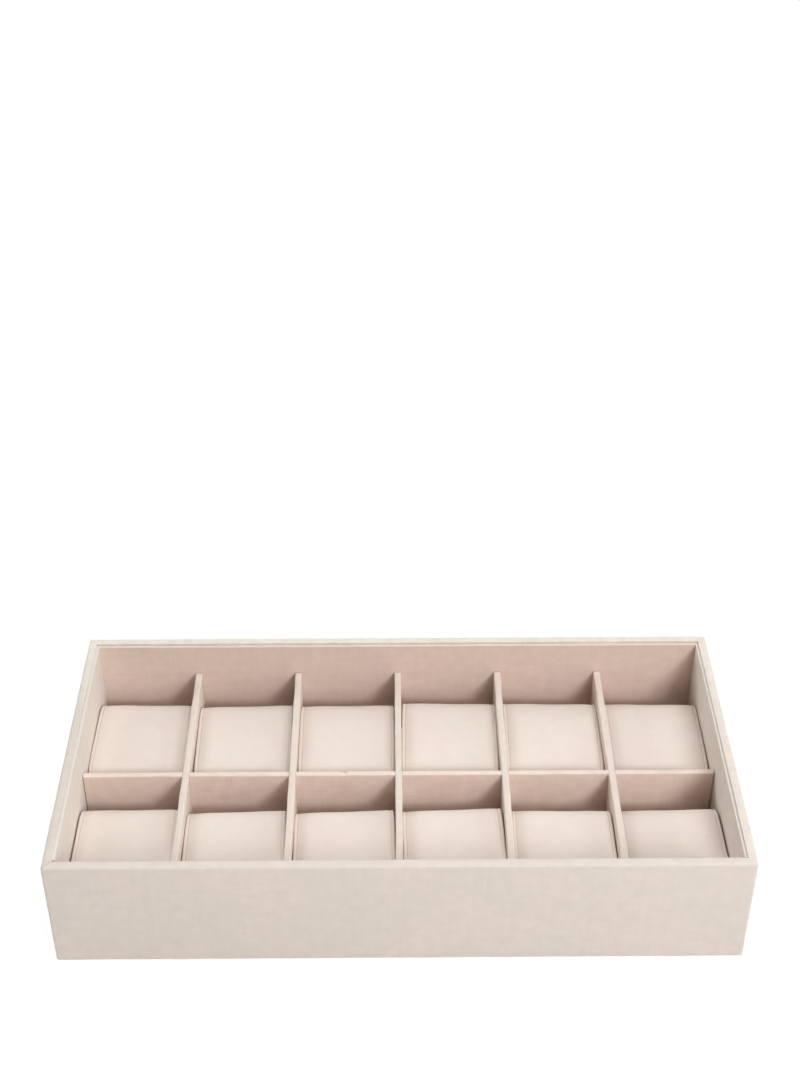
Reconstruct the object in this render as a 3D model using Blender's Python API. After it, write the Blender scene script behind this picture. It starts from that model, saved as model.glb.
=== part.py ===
"""Watch tray insert: a cloth-covered board box, a half-lapped divider lattice and a cushion in each cell.

Metres, +Z up. The origin is the middle of the underside, the long side lies along X and the front
faces -Y. Every board is covered with the same soft cloth, so its edges are slightly rounded.
"""

import math

import bmesh
import bpy
from mathutils import Vector

# Outer box
tray_length = 0.400
tray_depth = 0.198
tray_height = 0.078
wall_thickness = 0.0052
base_thickness = 0.0030

# Lining boards, a little lower than the rim
lining_thickness = 0.0017
lining_drop = 0.0015

# Divider lattice
columns = 6
divider_height = 0.0489
cross_divider_thickness = 0.0036
long_divider_thickness = 0.0034
long_divider_offset = -0.0012
end_cell_trim = 0.0010

# Cushions
cushion_height = 0.0400
cushion_crown = 0.0012
cushion_side_gap = 0.0005
cushion_front_gap = 0.0012
strap_gap = 0.0142
roll_radius = 0.0130
cushion_edge_radius = 0.0015

# Cloth-covered board edges, and the clearance between neighbouring pieces
edge_radius = 0.0008
gap = 0.0003

# Fineness of the round shapes
edge_segments = 2
roll_segments = 5
crown_sections = 4
sharp_angle = math.radians(40)

# Colours as eight-bit sRGB values
wall_colour = (222, 210, 200)
lining_colour = (214, 196, 184)
divider_colour = (226, 214, 203)
cushion_colour = (236, 221, 210)
base_colour = (205, 194, 184)
cloth_roughness = 0.9

# Heights of the floor and of what stands on it, worked out from the boards below
floor_top = base_thickness + gap + lining_thickness
seat_height = floor_top + gap
lining_height = tray_height - lining_drop - seat_height

# Clear space between the walls, and inside the lining
walled_length = tray_length - 2 * (wall_thickness + gap)
walled_depth = tray_depth - 2 * (wall_thickness + gap)
inner_length = walled_length - 2 * lining_thickness
inner_depth = walled_depth - 2 * lining_thickness

# The two end cells are narrower than the others by end_cell_trim
cell_pitch = (inner_length + cross_divider_thickness + 2 * end_cell_trim) / columns
cell_width = cell_pitch - cross_divider_thickness
end_cell_width = cell_width - end_cell_trim

# Where the two rows of cells begin, and how deep they are
front_row_start = -inner_depth / 2
back_row_start = long_divider_offset + long_divider_thickness / 2
front_row_depth = long_divider_offset - long_divider_thickness / 2 - front_row_start
back_row_depth = inner_depth / 2 - back_row_start

# One size of cushion fits every cell
cushion_width = min(cell_width, end_cell_width) - 2 * cushion_side_gap
cushion_length = min(front_row_depth, back_row_depth) - strap_gap - cushion_front_gap
block_height = cushion_height - cushion_crown
block_roll = min(roll_radius, 0.45 * block_height)


def clear_scene():
    """Remove every object that the scene holds."""
    for existing in list(bpy.data.objects):
        bpy.data.objects.remove(existing, do_unlink=True)


def linear(channel):
    """Turn an eight-bit sRGB channel into the linear value that a shader takes."""
    value = channel / 255
    return value / 12.92 if value <= 0.04045 else ((value + 0.055) / 1.055) ** 2.4


def cloth(name, colour):
    """Make a matt cloth material for one piece."""
    material = bpy.data.materials.new(name + "_cloth")
    material.use_nodes = True
    shader = material.node_tree.nodes["Principled BSDF"]
    rgba = (*(linear(channel) for channel in colour), 1.0)
    shader.inputs["Base Color"].default_value = rgba
    shader.inputs["Roughness"].default_value = cloth_roughness
    shader.inputs["Metallic"].default_value = 0.0
    material.diffuse_color = rgba
    return material


def place(name, shape, colour, location, turn=0.0):
    """Make an object of a finished bmesh and set it at its place in the tray."""
    bmesh.ops.recalc_face_normals(shape, faces=shape.faces)
    mesh = bpy.data.meshes.new(name)
    shape.to_mesh(mesh)
    shape.free()
    mesh.shade_smooth()
    mesh.set_sharp_from_angle(angle=sharp_angle)
    mesh.materials.append(cloth(name, colour))
    piece = bpy.data.objects.new(name, mesh)
    bpy.context.scene.collection.objects.link(piece)
    piece.parent = bpy.data.objects["watch_tray_insert"]
    piece.location = location
    piece.rotation_euler = (0.0, 0.0, turn)
    return piece


def place_round(name, shape, colour, degrees, reach, thickness, middle_height):
    """Set an upright board with its outer face at a distance from the middle, turned to one side."""
    turn = math.radians(degrees)
    outward = Vector((math.sin(turn), -math.cos(turn), 0.0))
    location = outward * (reach - thickness / 2) + Vector((0.0, 0.0, middle_height))
    place(name, shape, colour, location, turn)


def soft_edge(thickness):
    """Give the radius of the cloth over the edge of a board of one thickness."""
    return min(edge_radius, 0.3 * thickness)


def round_edges(shape, edges, radius):
    """Round some edges of a bmesh with a circular profile."""
    bmesh.ops.bevel(
        shape,
        geom=edges,
        offset=radius,
        offset_type="OFFSET",
        affect="EDGES",
        segments=edge_segments,
        profile=0.5,
        material=-1,
    )


def long_edges(shape, level):
    """Give the edges along X that lie at one height."""
    found = []
    for edge in shape.edges:
        start, end = (vertex.co for vertex in edge.verts)
        along_x = abs(start.y - end.y) < 1e-7 and abs(start.z - end.z) < 1e-7
        if along_x and abs(start.z - level) < 1e-7:
            found.append(edge)
    return found


def plate(length, depth, height):
    """Make a rectangular board, centred on its middle."""
    shape = bmesh.new()
    bmesh.ops.create_cube(shape, size=1.0)
    bmesh.ops.scale(shape, vec=(length, depth, height), verts=shape.verts)
    return shape


def extruded(points, direction):
    """Make a solid from the flat outline of one side and the way to its other side."""
    shape = bmesh.new()
    side = shape.faces.new([shape.verts.new(point) for point in points])
    grown = bmesh.ops.extrude_face_region(shape, geom=[side])["geom"]
    moved = [element for element in grown if isinstance(element, bmesh.types.BMVert)]
    bmesh.ops.translate(shape, vec=direction, verts=moved)
    return shape


def mitred_wall(length):
    """Make an outer wall, its outer face towards -Y and its ends cut at 45 degrees."""
    joint_clearance = gap / math.sqrt(2)
    shape = plate(length - 2 * joint_clearance, wall_thickness, tray_height)
    for vertex in shape.verts:
        if vertex.co.y > 0:
            vertex.co.x -= math.copysign(wall_thickness, vertex.co.x)
    foot = [edge for edge in long_edges(shape, -tray_height / 2) if edge.verts[0].co.y < 0]
    round_edges(shape, long_edges(shape, tray_height / 2) + foot, soft_edge(wall_thickness))
    return shape


def lining_board(length):
    """Make an upright lining board with a soft top edge."""
    shape = plate(length, lining_thickness, lining_height)
    round_edges(shape, long_edges(shape, lining_height / 2), soft_edge(lining_thickness))
    return shape


def slotted_divider(length, thickness, slot_places, slot_width, slots_open_up):
    """Make a divider whose slots reach half its height, from its top or from its foot."""
    top = divider_height / 2
    slotted_side = top if slots_open_up else -top
    slot_end = -gap / 2 if slots_open_up else gap / 2
    outline = [(-length / 2, -slotted_side), (-length / 2, slotted_side)]
    for middle in slot_places:
        near, far = middle - slot_width / 2, middle + slot_width / 2
        outline += [(near, slotted_side), (near, slot_end), (far, slot_end), (far, slotted_side)]
    outline += [(length / 2, slotted_side), (length / 2, -slotted_side)]
    shape = extruded([(x, -thickness / 2, z) for x, z in outline], (0.0, thickness, 0.0))
    round_edges(shape, long_edges(shape, top), soft_edge(thickness))
    return shape


def roll_outline():
    """Give the (y, z) outline of a cushion's side: a block with a round roll at each corner."""
    points = []
    corners = ((1, 1, 0), (-1, 1, 90), (-1, -1, 180), (1, -1, 270))
    for side_y, side_z, first_angle in corners:
        middle_y = side_y * (cushion_length / 2 - block_roll)
        middle_z = side_z * (block_height / 2 - block_roll)
        for step in range(roll_segments + 1):
            angle = math.radians(first_angle + 90 * step / roll_segments)
            across, up = block_roll * math.cos(angle), block_roll * math.sin(angle)
            points.append((middle_y + across, middle_z + up))
    return points


def add_cut(shape, point, normal):
    """Add the edges where a plane crosses a bmesh."""
    everything = shape.verts[:] + shape.edges[:] + shape.faces[:]
    bmesh.ops.bisect_plane(shape, geom=everything, plane_co=point, plane_no=normal)


def cushion():
    """Make a cushion, centred on its middle, with rolls at front and back and a crowned top."""
    side = [(-cushion_width / 2, y, z) for y, z in roll_outline()]
    shape = extruded(side, (cushion_width, 0.0, 0.0))
    seams = [edge for edge in shape.edges if abs(edge.verts[0].co.x - edge.verts[1].co.x) < 1e-7]
    round_edges(shape, seams, cushion_edge_radius)

    flat_length = cushion_length - 2 * block_roll
    for section in range(1, crown_sections):
        share = section / crown_sections - 0.5
        add_cut(shape, (cushion_width * share, 0.0, 0.0), (1.0, 0.0, 0.0))
        add_cut(shape, (0.0, flat_length * share, 0.0), (0.0, 1.0, 0.0))
    for vertex in shape.verts:
        if vertex.co.z > 0:
            across = 1 - (2 * vertex.co.x / cushion_width) ** 2
            along = 1 - (2 * vertex.co.y / cushion_length) ** 4
            vertex.co.z += cushion_crown * across * along
    bmesh.ops.translate(shape, vec=(0.0, 0.0, -cushion_crown / 2), verts=shape.verts)
    return shape


def cross_divider_places():
    """Give the x of each cross divider, from left to right."""
    return [cell_pitch * (number - columns / 2) for number in range(1, columns)]


def column_middles():
    """Give the x of the middle of each cell, from left to right."""
    last_face = cell_pitch * (columns / 2 - 1) + cross_divider_thickness / 2
    end_middle = last_face + end_cell_width / 2
    inner = [cell_pitch * (number - (columns - 1) / 2) for number in range(1, columns - 1)]
    return [-end_middle, *inner, end_middle]


def make_outer_box():
    """Make the base board and the four mitred walls."""
    base = plate(walled_length, walled_depth, base_thickness)
    place("base_board", base, base_colour, (0.0, 0.0, base_thickness / 2))
    walls = (
        ("front_wall", 0, tray_length, tray_depth / 2),
        ("back_wall", 180, tray_length, tray_depth / 2),
        ("left_wall", -90, tray_depth, tray_length / 2),
        ("right_wall", 90, tray_depth, tray_length / 2),
    )
    for name, degrees, length, reach in walls:
        wall = mitred_wall(length)
        place_round(name, wall, wall_colour, degrees, reach, wall_thickness, tray_height / 2)


def make_lining():
    """Make the floor lining and the four upright lining boards that stand on it."""
    floor = plate(walled_length, walled_depth, lining_thickness)
    place("floor_lining", floor, lining_colour, (0.0, 0.0, floor_top - lining_thickness / 2))
    middle_height = seat_height + lining_height / 2
    end_board_length = inner_depth - 2 * gap
    boards = (
        ("front_lining", 0, walled_length, walled_depth / 2),
        ("back_lining", 180, walled_length, walled_depth / 2),
        ("left_lining", -90, end_board_length, walled_length / 2),
        ("right_lining", 90, end_board_length, walled_length / 2),
    )
    for name, degrees, length, reach in boards:
        board = lining_board(length)
        place_round(name, board, lining_colour, degrees, reach, lining_thickness, middle_height)


def make_dividers():
    """Make the long divider and the cross dividers, half-lapped where they meet."""
    middle_height = seat_height + divider_height / 2
    long_divider = slotted_divider(
        inner_length - 2 * gap,
        long_divider_thickness,
        cross_divider_places(),
        cross_divider_thickness + 2 * gap,
        slots_open_up=True,
    )
    place("long_divider", long_divider, divider_colour, (0.0, long_divider_offset, middle_height))
    for number, across in enumerate(cross_divider_places(), start=1):
        cross_divider = slotted_divider(
            inner_depth - 2 * gap,
            cross_divider_thickness,
            [long_divider_offset],
            long_divider_thickness + 2 * gap,
            slots_open_up=False,
        )
        location = (across, 0.0, middle_height)
        place(f"cross_divider_{number}", cross_divider, divider_colour, location, math.radians(90))


def make_cushions():
    """Set a cushion in each cell, with the gap for a watch strap behind it."""
    rows = (
        ("front", front_row_start + front_row_depth),
        ("back", back_row_start + back_row_depth),
    )
    for row, wall_behind in rows:
        middle_y = wall_behind - strap_gap - cushion_length / 2
        for number, across in enumerate(column_middles(), start=1):
            location = (across, middle_y, seat_height + cushion_height / 2)
            place(f"cushion_{row}_{number}", cushion(), cushion_colour, location)


def main():
    """Build the whole tray under one empty."""
    clear_scene()
    tray = bpy.data.objects.new("watch_tray_insert", None)
    bpy.context.scene.collection.objects.link(tray)
    make_outer_box()
    make_lining()
    make_dividers()
    make_cushions()


main()
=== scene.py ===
"""Looks of the watch tray insert: cloth-covered boards, a divider lattice and twelve cushions.

Metres, +Z up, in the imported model's own frame: the origin is the middle of the underside, the long
side lies along X and the front faces -Y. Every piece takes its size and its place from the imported
node that it replaces.
"""

import logging
import math
from collections.abc import Callable
from dataclasses import dataclass, field
from enum import Enum

import bmesh
import bpy
from mathutils import Matrix, Vector, noise


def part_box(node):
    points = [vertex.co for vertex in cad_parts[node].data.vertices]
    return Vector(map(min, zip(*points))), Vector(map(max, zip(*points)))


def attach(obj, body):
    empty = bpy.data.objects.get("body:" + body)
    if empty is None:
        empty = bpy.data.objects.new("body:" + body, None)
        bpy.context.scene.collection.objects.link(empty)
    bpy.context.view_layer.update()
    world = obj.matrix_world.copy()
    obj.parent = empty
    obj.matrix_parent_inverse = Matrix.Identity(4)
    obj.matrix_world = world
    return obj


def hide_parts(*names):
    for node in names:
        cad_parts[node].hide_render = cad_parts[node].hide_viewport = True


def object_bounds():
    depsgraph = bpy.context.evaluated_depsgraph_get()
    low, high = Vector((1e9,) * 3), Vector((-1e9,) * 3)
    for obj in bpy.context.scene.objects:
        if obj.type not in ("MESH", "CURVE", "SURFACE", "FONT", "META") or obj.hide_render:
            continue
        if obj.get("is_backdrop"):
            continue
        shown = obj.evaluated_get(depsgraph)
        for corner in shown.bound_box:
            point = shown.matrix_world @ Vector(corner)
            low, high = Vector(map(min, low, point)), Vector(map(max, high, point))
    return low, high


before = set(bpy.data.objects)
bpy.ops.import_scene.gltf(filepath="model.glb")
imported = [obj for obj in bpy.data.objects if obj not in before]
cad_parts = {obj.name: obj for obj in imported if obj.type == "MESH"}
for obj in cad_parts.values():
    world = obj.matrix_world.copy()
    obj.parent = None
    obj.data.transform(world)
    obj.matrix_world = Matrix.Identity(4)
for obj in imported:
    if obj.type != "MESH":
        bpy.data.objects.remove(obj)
packed_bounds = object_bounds()

log = logging.getLogger("watch_tray")

MM = 0.001
# Places that are nearer to each other than this, in metres, count as one.
SAME = 1e-6
# Makes the unevenness of the cloth come out the same in each run.
UNEVENNESS_SEED = 7

# The part of a random pattern's values, from 0 to 1, that each look of the cloth is spread over.
TONE_REACH = (0.34, 0.66)
THREAD_REACH = (0.35, 0.65)
FIBRE_REACH = (0.30, 0.70)
WORN_REACH = (0.35, 0.60)
MATT_REACH = (0.2, 0.8)

# How many finer layers a soft and a fine random pattern have.
SOFT_DETAIL = 2.0
FINE_DETAIL = 3.0

Colour = tuple[int, int, int]
Place = tuple[float, float, float]


class Side(Enum):
    """The side of the tray that a board's outer face looks to, as a turn from the front in degrees."""

    FRONT = 0
    RIGHT = 90
    BACK = 180
    LEFT = -90

    @property
    def runs_along_y(self) -> bool:
        """Whether a board on this side runs along Y."""
        return self in (Side.LEFT, Side.RIGHT)


class Lay(Enum):
    """How the cloth lies on a piece: the two ways that its threads run."""

    UPRIGHT_ALONG_X = ((1, 0, 0), (0, 0, 1))
    UPRIGHT_ALONG_Y = ((0, 1, 0), (0, 0, 1))
    FLAT = ((1, 0, 0), (0, 1, 0))


def by_side(front: float, right: float, back: float, left: float) -> dict[Side, float]:
    """Give each side of the tray its own amount."""
    return dict(zip(Side, (front, right, back, left)))


def linear(colour: Colour) -> tuple[float, float, float, float]:
    """Turn an eight-bit sRGB colour into the linear RGBA that a shader takes.

    Args:
        colour: Red, green and blue from 0 to 255.

    Returns:
        The linear colour with an alpha of 1.
    """
    shares = [channel / 255 for channel in colour]
    values = [s / 12.92 if s <= 0.04045 else ((s + 0.055) / 1.055) ** 2.4 for s in shares]
    return (*values, 1.0)


def eased(value: float, start: float, end: float) -> float:
    """Give the share, from 0 to 1 on a smooth step, that a value has covered between two ends."""
    share = min(1.0, max(0.0, (value - start) / (end - start)))
    return share * share * (3 - 2 * share)


def bell(distance: float, width: float) -> float:
    """Give a share that is 1 in the middle and fades out smoothly over about one width."""
    return math.exp(-((distance / width) ** 2))


def wave(along: float, length: float, row: tuple[float, float]) -> float:
    """Give the height, between about -1 and 1, of a smooth and irregular wave.

    Args:
        along: The place along the wave.
        length: How far its crests lie apart, about.
        row: Picks one wave out of many.

    Returns:
        The height.
    """
    return noise.noise(Vector((along / length, *row)))


def show(name: str, data: bpy.types.ID) -> bpy.types.Object:
    """Make an object of a mesh, a lamp or a camera and add it to the scene.

    Args:
        name: The object's name.
        data: What it shows.

    Returns:
        The object.
    """
    made = bpy.data.objects.new(name, data)
    bpy.context.scene.collection.objects.link(made)
    return made


class ShaderGraph:
    """A shader's node tree, wired step by step."""

    def __init__(self, tree: bpy.types.NodeTree) -> None:
        """Work on the node tree of a material or of the surroundings."""
        self.tree = tree

    def put(self, socket: bpy.types.NodeSocket, value: object) -> None:
        """Link a socket to another node's output, or write a plain value on it.

        Args:
            socket: The socket to fill.
            value: Another node's output, or a plain value.
        """
        if isinstance(value, bpy.types.NodeSocket):
            self.tree.links.new(value, socket)
        else:
            socket.default_value = value

    def add(self, kind: str, inputs: dict, operation: str = "") -> bpy.types.Node:
        """Add a node.

        Args:
            kind: The kind of node.
            inputs: What goes into its sockets, by their names or numbers.
            operation: What it works out, for a node that can work out several things.

        Returns:
            The node.
        """
        node = self.tree.nodes.new(kind)
        if operation:
            node.operation = operation
        for name, value in inputs.items():
            self.put(node.inputs[name], value)
        return node

    def combine(self, operation: str, first: object, second: object) -> bpy.types.NodeSocket:
        """Work out one number from two, such as their product."""
        return self.add("ShaderNodeMath", {0: first, 1: second}, operation).outputs["Value"]


class ClothGraph(ShaderGraph):
    """The node tree of one cloth, with patterns that stay in place on the piece."""

    def __init__(self, material: bpy.types.Material) -> None:
        """Start from the material's own surface shader.

        Args:
            material: A material that uses nodes.
        """
        super().__init__(material.node_tree)
        self.shader = self.tree.nodes["Principled BSDF"]
        self.place = self.tree.nodes.new("ShaderNodeTexCoord").outputs["Object"]

    def patches(self, size: float, detail: float, stretch: Place = (1, 1, 1)) -> bpy.types.NodeSocket:
        """Make soft random patches.

        Args:
            size: How far the patches lie apart, in metres.
            detail: How many finer layers are added.
            stretch: How many times longer a patch is along X, Y and Z.

        Returns:
            The patches' value, around 0.5.
        """
        scale = [1 / longer for longer in stretch]
        mapping = self.add("ShaderNodeMapping", {"Vector": self.place, "Scale": scale})
        inputs = {"Vector": mapping.outputs["Vector"], "Scale": 1 / size, "Detail": detail}
        return self.add("ShaderNodeTexNoise", inputs).outputs["Fac"]

    def attribute(self, name: str) -> bpy.types.NodeSocket:
        """Read a number that is painted on the mesh, and that is 0 where none is painted."""
        reader = self.tree.nodes.new("ShaderNodeAttribute")
        reader.attribute_name = name
        return reader.outputs["Fac"]

    def spread(
        self, value: object, reach: tuple[float, float], start: float = 0.0, end: float = 1.0
    ) -> bpy.types.NodeSocket:
        """Stretch a value from one range to another and hold it there.

        Args:
            value: The value to stretch.
            reach: The two values that become start and end.
            start: Where the new range starts.
            end: Where the new range ends.

        Returns:
            The stretched value.
        """
        low, high = reach
        amounts = {"Value": value, "From Min": low, "From Max": high, "To Min": start, "To Max": end}
        return self.add("ShaderNodeMapRange", amounts).outputs["Result"]

    def sum_of(self, *values: object) -> bpy.types.NodeSocket:
        """Add up several values.

        Args:
            values: The values.

        Returns:
            Their sum.
        """
        total = values[0]
        for value in values[1:]:
            total = self.combine("ADD", total, value)
        return total

    def blend(self, share: object, first: object, second: object) -> bpy.types.NodeSocket:
        """Mix two colours.

        Args:
            share: How much of the second is in it.
            first: The first colour.
            second: The second colour.

        Returns:
            The mixed colour.
        """
        mixer = self.tree.nodes.new("ShaderNodeMix")
        mixer.data_type = "RGBA"
        self.put(mixer.inputs["Factor"], share)
        self.put(mixer.inputs[6], first)
        self.put(mixer.inputs[7], second)
        return mixer.outputs[2]

    def brighten(self, colour: object, factor: object) -> bpy.types.NodeSocket:
        """Multiply a colour by a number."""
        inputs = {"Vector": colour, "Scale": factor}
        return self.add("ShaderNodeVectorMath", inputs, "SCALE").outputs["Vector"]


@dataclass(frozen=True)
class Fibres:
    """The random patterns of one cloth's fibres, which its colour and its relief share.

    Attributes:
        nap: The strokes of the nap, which is laid by brushing.
        grain: The fine grain.
        threads: The woven threads that show through.
    """

    nap: bpy.types.NodeSocket
    grain: bpy.types.NodeSocket
    threads: bpy.types.NodeSocket


@dataclass(frozen=True)
class BrushedCloth:
    """A short-napped cloth, with the tones, threads and nap that it shows close by.

    Attributes:
        name: What the cloth covers.
        slot: The name of a material slot. It is not used.
        blush: The pinker of its two tones.
        stone: The greyer, greener of its two tones.
        rubbed: The pale tone where the nap is worn at an edge.
        crease: The dark tone of painted shade: down in a seam, at a wall's foot and at a cushion's left
            end.
        patch: How far its tonal patches lie apart, in metres.
        thread_shade: How much the threads lighten and darken it.
        nap_shade: How much the nap, laid by brushing, lightens and darkens it, and its grain half as
            much.
        nap_size: How far the strokes of its nap lie apart, in metres.
        grain_size: How far the specks of its grain lie apart.
        thread_size: How far its threads lie apart.
        thread_run: How many times longer than wide a thread shows.
        relief: The height of its grain, in metres.
        relief_strength: How much of that height shows.
        nap_rise: How many times higher its nap is than its grain.
        least_worn: How worn a rubbed edge is where the nap is fullest, of 1 where it is thinnest.
        matt: How rough it is down in the grain and on top of it.
        gloss: How much plain shine it has.
        sheen: How much the nap glows at a low angle.
        sheen_spread: How widely that glow is spread.
    """

    name: str
    slot: str
    blush: Colour
    stone: Colour
    rubbed: Colour
    crease: Colour
    patch: float = 40 * MM
    thread_shade: float = 0.014
    nap_shade: float = 0.022
    nap_size: float = 7 * MM
    grain_size: float = 0.7 * MM
    thread_size: float = 1.2 * MM
    thread_run: float = 25.0
    relief: float = 0.1 * MM
    relief_strength: float = 0.5
    nap_rise: float = 1.5
    least_worn: float = 0.65
    matt: tuple[float, float] = (0.98, 0.86)
    gloss: float = 0.15
    sheen: float = 0.20
    sheen_spread: float = 0.55

    def material(self, lay: Lay) -> bpy.types.Material:
        """Make the cloth's material, or give it again if it was made before.

        Args:
            lay: How the cloth lies on the piece.

        Returns:
            The material.
        """
        name = f"{self.name}_cloth_{lay.name.lower()}"
        made = bpy.data.materials.get(name)
        if made:
            return made
        made = bpy.data.materials.new(name)
        made.use_nodes = True
        graph = ClothGraph(made)
        fibres = self.fibres(graph, lay)
        inputs = {
            "Base Color": self.colour(graph, fibres),
            "Normal": self.bumps(graph, fibres),
            "Roughness": graph.spread(fibres.grain, MATT_REACH, *self.matt),
            "Specular IOR Level": self.gloss,
            "Sheen Weight": self.sheen,
            "Sheen Roughness": self.sheen_spread,
            "Sheen Tint": linear(self.rubbed),
        }
        for name, value in inputs.items():
            graph.put(graph.shader.inputs[name], value)
        return made

    def fibres(self, graph: ClothGraph, lay: Lay) -> Fibres:
        """Make the random patterns of the fibres.

        Args:
            graph: The node tree to add them to.
            lay: How the cloth lies on the piece.

        Returns:
            The patterns.
        """
        nap = graph.patches(self.nap_size, FINE_DETAIL)
        grain = graph.patches(self.grain_size, FINE_DETAIL)
        runs = []
        for way in lay.value:
            stretch = tuple(1 + (self.thread_run - 1) * part for part in way)
            runs.append(graph.patches(self.thread_size, SOFT_DETAIL, stretch))
        return Fibres(nap, grain, graph.combine("MULTIPLY", graph.sum_of(*runs), 1 / len(runs)))

    def colour(self, graph: ClothGraph, fibres: Fibres) -> bpy.types.NodeSocket:
        """Mix the colour from the tones, the shade of the fibres, the worn nap and the painted shade.

        Args:
            graph: The node tree to add it to.
            fibres: The patterns of the fibres.

        Returns:
            The colour.
        """
        tones = graph.spread(graph.patches(self.patch, SOFT_DETAIL), TONE_REACH)
        colour = graph.blend(tones, linear(self.stone), linear(self.blush))
        grain_shade = self.nap_shade / 2
        shade = graph.sum_of(
            graph.spread(fibres.threads, THREAD_REACH, 1 - self.thread_shade, 1 + self.thread_shade),
            graph.spread(fibres.nap, FIBRE_REACH, -self.nap_shade, self.nap_shade),
            graph.spread(fibres.grain, FIBRE_REACH, -grain_shade, grain_shade),
        )
        colour = graph.brighten(colour, shade)
        thin = graph.spread(fibres.nap, WORN_REACH, self.least_worn, 1.0)
        worn = graph.combine("MULTIPLY", graph.attribute("rub"), thin)
        colour = graph.blend(worn, colour, linear(self.rubbed))
        # Painted shade: the seam number darkens the cloth towards the crease tone.
        return graph.blend(graph.attribute("seam"), colour, linear(self.crease))

    def bumps(self, graph: ClothGraph, fibres: Fibres) -> bpy.types.NodeSocket:
        """Let the fibres stand up a little in the light.

        Args:
            graph: The node tree to add it to.
            fibres: The patterns of the fibres.

        Returns:
            The bent normal.
        """
        nap = graph.combine("MULTIPLY", fibres.nap, self.nap_rise)
        height = graph.sum_of(fibres.grain, fibres.threads, nap)
        inputs = {"Strength": self.relief_strength, "Distance": self.relief, "Height": height}
        return graph.add("ShaderNodeBump", inputs).outputs["Normal"]


@dataclass(frozen=True)
class Finishes:
    """The cloths of the tray."""

    wall: BrushedCloth = BrushedCloth(
        "wall",
        "wall_cloth",
        blush=(218, 205, 196),
        stone=(214, 204, 194),
        rubbed=(234, 227, 217),
        crease=(166, 153, 143),
        patch=50 * MM,
        thread_shade=0.015,
        nap_shade=0.026,
    )
    side_lining: BrushedCloth = BrushedCloth(
        "side_lining",
        "lining_cloth",
        blush=(225, 215, 207),
        stone=(222, 216, 206),
        rubbed=(230, 223, 213),
        crease=(170, 156, 146),
        thread_shade=0.020,
        nap_shade=0.030,
    )
    lining: BrushedCloth = BrushedCloth(
        "lining",
        "lining_cloth",
        blush=(229, 206, 196),
        stone=(226, 207, 195),
        rubbed=(232, 219, 207),
        crease=(165, 145, 135),
        thread_shade=0.022,
        nap_shade=0.034,
    )
    long_divider: BrushedCloth = BrushedCloth(
        "long_divider",
        "divider_cloth",
        blush=(233, 210, 200),
        stone=(230, 211, 199),
        rubbed=(238, 223, 211),
        crease=(165, 146, 136),
        thread_shade=0.026,
        nap_shade=0.046,
    )
    cross_divider: BrushedCloth = BrushedCloth(
        "cross_divider",
        "divider_cloth",
        blush=(223, 207, 197),
        stone=(220, 209, 197),
        rubbed=(230, 220, 208),
        crease=(165, 148, 138),
        thread_shade=0.024,
        nap_shade=0.036,
    )
    cushion: BrushedCloth = BrushedCloth(
        "cushion",
        "cushion_cloth",
        blush=(232, 218, 211),
        stone=(231, 221, 210),
        rubbed=(238, 228, 219),
        crease=(181, 166, 157),
        patch=30 * MM,
        thread_shade=0.009,
        nap_shade=0.014,
    )
    base: BrushedCloth = BrushedCloth(
        "base",
        "base_cloth",
        blush=(207, 193, 184),
        stone=(203, 195, 184),
        rubbed=(214, 204, 194),
        crease=(160, 145, 135),
    )


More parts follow.
